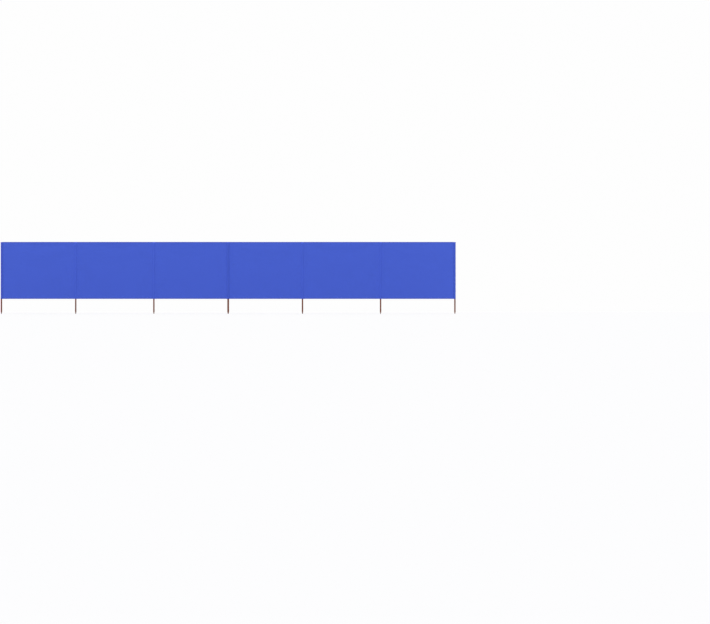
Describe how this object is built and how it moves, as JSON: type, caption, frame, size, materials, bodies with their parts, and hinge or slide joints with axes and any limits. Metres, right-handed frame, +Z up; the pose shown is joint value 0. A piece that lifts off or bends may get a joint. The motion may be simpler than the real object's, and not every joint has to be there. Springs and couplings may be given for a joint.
{
  "type": "beach windbreak",
  "caption": "Long cloth screen held up by pointed wooden poles in sewn pockets, folding at each inner pole, to shelter a place on a beach from wind.",
  "frame": {"origin": "centre of the flat end of the middle pole's point, where it is pushed into the sand", "axes": "+X along the cloth to the right seen from the front, -Y out of the front, +Z up"},
  "size_m": [8.0052, 0.0372, 1.265],
  "materials": {
    "cloth": "plain open weave, matt",
    "pocket_cloth": "two layers of the same weave",
    "hem_cloth": "folded and stitched layers of the same weave",
    "wood": "reddish brown, turned smooth"
  },
  "bodies": {
    "bay_3": {"panel_3": "cloth", "top_hem_3": "hem_cloth", "bottom_hem_3": "hem_cloth", "pole_3": "wood", "pocket_3": "pocket_cloth", "rolled_hem_3": "hem_cloth", "pole_4": "wood", "pocket_4": "pocket_cloth", "rolled_hem_4": "hem_cloth"},
    "bay_2": {"panel_2": "cloth", "top_hem_2": "hem_cloth", "bottom_hem_2": "hem_cloth", "pole_2": "wood", "pocket_2": "pocket_cloth", "rolled_hem_2": "hem_cloth"},
    "bay_1": {"panel_1": "cloth", "top_hem_1": "hem_cloth", "bottom_hem_1": "hem_cloth", "pole_1": "wood", "pocket_1": "pocket_cloth", "rolled_hem_1": "hem_cloth"},
    "bay_4": {"panel_4": "cloth", "top_hem_4": "hem_cloth", "bottom_hem_4": "hem_cloth", "pole_5": "wood", "pocket_5": "pocket_cloth", "rolled_hem_5": "hem_cloth"},
    "bay_5": {"panel_5": "cloth", "top_hem_5": "hem_cloth", "bottom_hem_5": "hem_cloth", "pole_6": "wood", "pocket_6": "pocket_cloth", "rolled_hem_6": "hem_cloth"},
    "bay_6": {"panel_6": "cloth", "top_hem_6": "hem_cloth", "bottom_hem_6": "hem_cloth", "pole_7": "wood", "pocket_7": "pocket_cloth", "rolled_hem_7": "hem_cloth"}
  },
  "joints": [
    {"name": "fold_3", "type": "hinge", "parent": "bay_3", "child": "bay_2", "pos_m": [-1.306, 0, 0], "axis": [0, 0, 1], "range_deg": [-160, 160]},
    {"name": "fold_2", "type": "hinge", "parent": "bay_2", "child": "bay_1", "pos_m": [-2.679, 0, 0], "axis": [0, 0, -1], "range_deg": [-160, 160]},
    {"name": "fold_4", "type": "hinge", "parent": "bay_3", "child": "bay_4", "pos_m": [0, 0, 0], "axis": [0, 0, 1], "range_deg": [-160, 160]},
    {"name": "fold_5", "type": "hinge", "parent": "bay_4", "child": "bay_5", "pos_m": [1.306, 0, 0], "axis": [0, 0, -1], "range_deg": [-160, 160]},
    {"name": "fold_6", "type": "hinge", "parent": "bay_5", "child": "bay_6", "pos_m": [2.679, 0, 0], "axis": [0, 0, 1], "range_deg": [-160, 160]}
  ]
}
